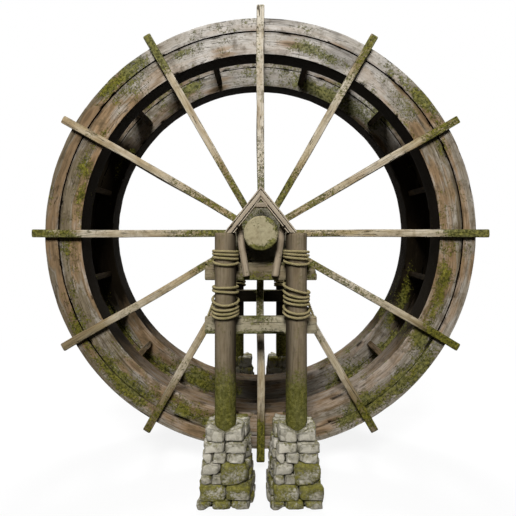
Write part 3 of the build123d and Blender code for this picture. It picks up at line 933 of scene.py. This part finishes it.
def pier(x, y, side, end):
    """A dry-laid pier: outer stones on four sides round a core painted black as shade, open for the
    post's foot.
    """
    heap = Heap()
    rng = np.random.default_rng(77)

    def trim(p):
        """Skews the pier, clears the ground and the post, and cuts the notch over the post's foot."""
        out = p - (x, y, 0)
        out[:, 0] -= side * PIER_SKEW * np.clip(0.5 - 0.5 * end * out[:, 1] / face(p[:, 2]), 0, 1)
        far = np.maximum(np.hypot(out[:, 0], out[:, 1]), 1e-6)
        push = np.where(p[:, 2] > POST_FOOT, np.maximum(1, (POST_RADIUS + POST_GAP) / far), 1)
        notch = PIER_HEIGHT + NOTCH_SLACK - PIER_NOTCH * (1 - np.abs(out[:, 0]) / (PIER_TOP / 2))
        notch = np.minimum(notch, PIER_HEIGHT)
        top = np.where(end * out[:, 1] > NOTCH_FROM, notch, PIER_HEIGHT + TOP_SLACK)
        z = np.clip(p[:, 2], GROUND_GAP, top)
        return np.stack((x + out[:, 0] * push, y + out[:, 1] * push, z), -1)

    def face(height):
        """Half the pier's width at a height."""
        return (PIER_BASE + (PIER_TOP - PIER_BASE) * height / PIER_HEIGHT) / 2

    def lay(turn, left, right, low, high, depth, moss):
        """Lays one stone, turned by so many quarter turns from the pier's -Y face."""
        out = rng.uniform(-0.005, 0.006) + (SIDE_PROUD if turn % 2 else 0.0)
        level = (low + high) / 2
        middle = np.array(((left + right) / 2, depth / 2 - face(level) - out, level))
        half = np.array(((right - left) / 2 - STONE_JOINT, depth / 2, (high - low) / 2 - STONE_JOINT))
        c, s = ((1, 0), (0, 1), (-1, 0), (0, -1))[turn]
        spun = np.array((c * middle[0] - s * middle[1], s * middle[0] + c * middle[1], middle[2]))
        half = half[[1, 0, 2]] if turn % 2 else half
        stone(heap, spun + (x, y, 0), half, rng.integers(1, 10 ** 6), moss, rng.uniform(0.1, 1.0), trim)

    front = 0 if end < 0 else 2
    for row, (low, high, shown) in enumerate(COURSES):
        for left, right, moss in shown:
            lay(front, left, right, low, high, STONE_DEPTH, moss)
        for turn in ((front + k) % 4 for k in (1, 2, 3)):
            width = face((low + high) / 2) - (SIDE_INSET if turn % 2 else BACK_INSET)
            count = 2 if (row + turn) % 2 else 3
            marks = np.linspace(-width, width, count + 1)
            marks[1:-1] += rng.uniform(-0.03, 0.03, count - 1)
            for left, right in zip(marks[:-1], marks[1:]):
                lay(turn, left + SIDE_JOINT, right - SIDE_JOINT, low, high, SIDE_DEPTH,
                    rng.uniform(-0.10, 0.45))
    left, right, low, high, moss = TALL_STONE
    lay(front, left, right, low, high, STONE_DEPTH, moss)
    a, b = rect_section(1, 1, 0.2, 4, 4)[:2]
    levels = np.array(CORE_LEVELS)[:, None]
    reach = face(levels) - CORE_INSET
    core = np.stack((x + a * reach, y + b * reach, levels + 0 * a), -1)
    core = trim(core.reshape(-1, 3)).reshape(core.shape)
    # The core is painted nearly black, as shade between the stones.
    heap.tube(core, core, np.broadcast_to((0.1, 0.0, 0.95), core.shape))
    return heap


def beam(node, end, split):
    """A squared cross beam. A split one has lost the upper corner of one end."""
    middle, half = span(node)
    put = straight((-half[0], middle[1], middle[2]), (1, 0, 0), (0, 1, 0))
    lost, broken = 0.016, -0.008

    def place(s, a, b):
        gone = np.where(b > broken + 0.3 * a, lost, 0.0) if split else 0 * b
        near = np.maximum(s, gone) if end > 0 else np.minimum(s, 2 * half[0] - gone)
        return put(near, a, b)

    heap = Heap()
    section = rect_section(half[1], half[2], radius=0.008, across=4, down=6)
    timber(heap, section, 2 * half[0], place, seed_for(end, 10 * middle[2], 6), beam_look, step=0.018,
           wear=0.006)
    return heap


# Strips of a rafter's face, from and to a share of its width, with how deep each lies back
RAFTER_STRIPS = ((0.0, 0.20, 0.0), (0.20, 0.36, 0.007), (0.36, 1.0, 0.0))
# The nail at a rafter's foot: distance from the axle, distance down the slope, radius
NAIL = (RAFTER_INNER + 0.012, 0.074, 0.011)
ROOF_BOARDS = 3


def slope_axes(side):
    """Down one slope of the roof, and straight out of it."""
    return np.array((side * UPWARD, 0, -ACROSS)), np.array((side * ACROSS, 0, UPWARD))


def roof_plane(side, distance):
    """Plane (normal, distance) of one slope, that far from the axle."""
    return slope_axes(side)[1], UPWARD * AXLE_Z + distance


def roof_stops(side, eave):
    """Planes that end a slope's timbers: at the ridge and at the eave's height."""
    return ((-side, 0, 0), -SNUG), ((0, 0, -1), -eave)


def gables(node):
    """Y of the rafters' middles, outer and inner gable."""
    middle, half = span(node)
    reach = math.copysign(half[1] - RAFTER_DEPTH / 2, middle[1])
    return middle[1] + reach, middle[1] - reach


def collar_timbers(end_name, end):
    """The short tie of each gable."""
    heap = Heap()
    middle, half = span(f"{end_name}_collar_ties")
    section = rect_section(RAFTER_DEPTH / 2, half[2], radius=0.003, across=3, down=3)
    inside = [roof_plane(side, RAFTER_INNER - SNUG) for side in (-1, 1)]
    for k, gable_y in enumerate(gables(f"{end_name}_left_rafters")):
        place = straight((-COLLAR_BLANK / 2, gable_y, middle[2]), (1, 0, 0), (0, 1, 0))
        timber(heap, section, COLLAR_BLANK, cut(place, (1, 0, 0), inside), seed_for(end, k, 9),
               collar_look, step=0.012, wear=0.002, wave=0.001, end_round=0.002)
    return heap


def rafter_timbers(corner, side, end):
    """Both rafters of one slope, each with a groove along it, and a nail in the outer one."""
    slope, normal = slope_axes(side)
    stops = roof_stops(side, AXLE_Z + EAVE)
    deep = RAFTER_OUTER - RAFTER_INNER
    heap = Heap()
    for k, gable_y in enumerate(gables(corner + "rafters")):
        for j, (near, far, back) in enumerate(RAFTER_STRIPS):
            away = RAFTER_INNER + (near + far) / 2 * deep
            start = away * normal - RAFTER_START * slope + (0, gable_y, AXLE_Z)
            wide, thick = (far - near) * deep, RAFTER_DEPTH - 2 * back
            section = rect_section(wide / 2, thick / 2, radius=0.002, across=3, down=3)
            timber(heap, section, RAFTER_BLANK, cut(straight(start, slope, normal), slope, stops),
                   seed_for(end, side, k, 10 + j), seam_look if back else roof_look,
                   step=0.014, wear=0.001, wave=0.001, end_round=0.002)
        if k == 0:
            away, down, radius = NAIL
            head = away * normal + down * slope + (0, gable_y + end * RAFTER_DEPTH / 2, AXLE_Z)
            nail(heap, head, end, radius)
    return heap


def roof_planks(corner, side, end):
    """Boards side by side over one slope, a little uneven at the eave."""
    slope, normal = slope_axes(side)
    middle, half = span(corner + "roof_board")
    thick = 0.8 * (ROOF_OUTER - RAFTER_OUTER)
    wide = 2 * half[1] / ROOF_BOARDS
    section = rect_section(thick / 2, wide / 2 - 0.001, radius=0.003, across=2, down=5)
    heap = Heap()
    for k in range(ROOF_BOARDS):
        board_y = middle[1] + wide * (k - (ROOF_BOARDS - 1) / 2)
        start = (ROOF_OUTER - thick / 2) * normal - BOARD_START * slope + (0, board_y, AXLE_Z)
        stops = roof_stops(side, AXLE_Z + EAVE + 0.004 + 0.006 * ((k * 2 + (side > 0)) % 3))
        timber(heap, section, BOARD_BLANK, cut(straight(start, slope, normal), slope, stops),
               seed_for(end, side, k, 12), roof_look, step=0.014, wear=0.002, wave=0.001, end_round=0.002)
    return heap


def strut_pole(corner, side, end):
    """A leaning pole beside the axle, cut under the rafters."""
    along = (side * math.sin(STRUT_LEAN), 0, math.cos(STRUT_LEAN))
    foot_x = STRUT_DISTANCE / math.cos(STRUT_LEAN) - STRUT_DROP * math.tan(STRUT_LEAN)
    middle, half = span(corner + "bearing_strut")
    place = straight((side * foot_x, middle[1], AXLE_Z - STRUT_DROP), along, (0, 1, 0))
    heap = Heap()
    under_roof = cut(place, along, [roof_plane(side, RAFTER_INNER - SNUG)])
    timber(heap, round_section(half[1] - SNUG, 22), STRUT_BLANK, under_roof, seed_for(end, side, 8),
           strut_look, step=0.012, wave=0.0012, end_round=0.004)
    return heap


def post_log(x, y, side, end):
    heap = Heap()
    upright = straight((x, y, POST_FOOT), (0, 0, 1), (1, 0, 0))
    timber(heap, round_section(POST_RADIUS - LOG_SLACK, 44), 2 * POST_HALF[2], upright,
           seed_for(end, side, 7), post_look, step=0.02, wave=0.0022, end_round=0.008, caps=LOG_CAPS)
    return heap


for end_name, end in ENDS.items():
    for level in ("upper_beam", "lower_beam"):
        node = f"{end_name}_{level}"
        beam(node, end, level == "upper_beam").piece(f"{node}_timber", node, "beam_wood")
    collar_timbers(end_name, end).piece("collar_timbers", "collar_ties", "roof_wood", end_name + "_")
    for side_name, side in SIDES.items():
        corner = f"{end_name}_{side_name}_"
        x, y = side * POST_X, end * TRESTLE_Y
        post_log(x, y, side, end).piece("post_log", "post", "post_wood", corner)
        strut_pole(corner, side, end).piece("strut_pole", "bearing_strut", "strut_wood", corner)
        rafter_timbers(corner, side, end).piece("rafter_timbers", "rafters", "roof_wood", corner)
        roof_planks(corner, side, end).piece("roof_planks", "roof_board", "roof_wood", corner)
        lashing(x, y, side, end).piece("rope", "lashing", "rope", corner)
        pier(x, y, side, end).piece("pier_stones", "pier", "stone", corner)


# Floor, light and camera

def seen_directly(sh):
    """1 for what the camera sees, also in gloss or through glass, and 0 for light on the object."""
    path = sh.node("ShaderNodeLightPath").outputs
    direct = sh.math("MAXIMUM", path["Is Camera Ray"], path["Is Glossy Ray"])
    return sh.math("MAXIMUM", direct, path["Is Transmission Ray"])


def floor_material():
    """Pale floor that keeps the shadow near the object and fades to white around it."""
    sh = Shader("pale_floor")
    pale = sh.tree.nodes["Principled BSDF"]
    sh.put(pale.inputs["Base Color"], (0.80, 0.80, 0.80, 1))
    sh.put(pale.inputs["Roughness"], 0.9)
    away = sh.node("ShaderNodeVectorMath", i0=sh.place())
    away.operation = "LENGTH"
    share = sh.math("ADD", sh.step(away.outputs["Value"], 2.0, 7.0, 0.14), 0.86)
    glow = sh.node("ShaderNodeEmission", Color=(1, 1, 1, 1), Strength=1.0)
    shown = sh.node("ShaderNodeMixShader", i0=share, i1=pale.outputs[0], i2=glow.outputs[0])
    dim = sh.node("ShaderNodeBsdfDiffuse", Color=(0.03, 0.03, 0.03, 1))
    both = sh.node("ShaderNodeMixShader", i0=seen_directly(sh), i1=dim.outputs[0], i2=shown.outputs[0])
    sh.put(sh.tree.nodes["Material Output"].inputs["Surface"], both.outputs[0])
    return sh.made


FLOOR_SIZE = 60
AMBIENT = 0.04
LIGHT_AIM = Vector((0, 0, 2.0))
# Lamps: name, place, size, power in watts
LAMPS = (
    ("key", (-1.0, -12.6, 10.9), 4.5, 3050.0),
    ("back", (0.0, 11.3, 13.5), 4.0, 2100.0),
    ("left", (-16.0, 4.0, 6.0), 4.0, 1400.0),
    ("right", (16.0, 4.0, 6.0), 4.0, 1400.0),
)
CAMERA_PLACE = (-0.024, -5.297, 2.184)
CAMERA_LENS, LENS_SHIFT = 35, -0.0465


def lay_floor():
    bpy.ops.mesh.primitive_plane_add(size=FLOOR_SIZE)
    floor = bpy.context.object
    floor.name = "floor"
    floor.data.materials.append(floor_material())


def surround():
    """White to look at, with little light of its own on the object."""
    sh = Shader("studio", "worlds")
    scene.world = sh.made
    light = sh.tree.nodes["Background"].inputs
    sh.put(light["Color"], (1, 1, 1, 1))
    sh.put(light["Strength"], sh.scaled(seen_directly(sh), 1 - AMBIENT, AMBIENT))


def hang_lamps():
    for name, place, size, power in LAMPS:
        data = bpy.data.lights.new(name, "AREA")
        data.size = size
        data.energy = power
        lamp = bpy.data.objects.new(name, data)
        lamp.location = place
        lamp.rotation_euler = (LIGHT_AIM - Vector(place)).to_track_quat("-Z", "Y").to_euler()
        scene.collection.objects.link(lamp)


def set_camera():
    """Level, looking along +Y at the front trestle."""
    data = bpy.data.cameras.new("camera")
    data.lens = CAMERA_LENS
    data.shift_y = LENS_SHIFT
    camera = bpy.data.objects.new("camera", data)
    camera.location = CAMERA_PLACE
    camera.rotation_euler = (math.pi / 2, 0, 0)
    scene.collection.objects.link(camera)
    scene.camera = camera
    scene.view_settings.view_transform = "Standard"


lay_floor()
surround()
hang_lamps()
set_camera()
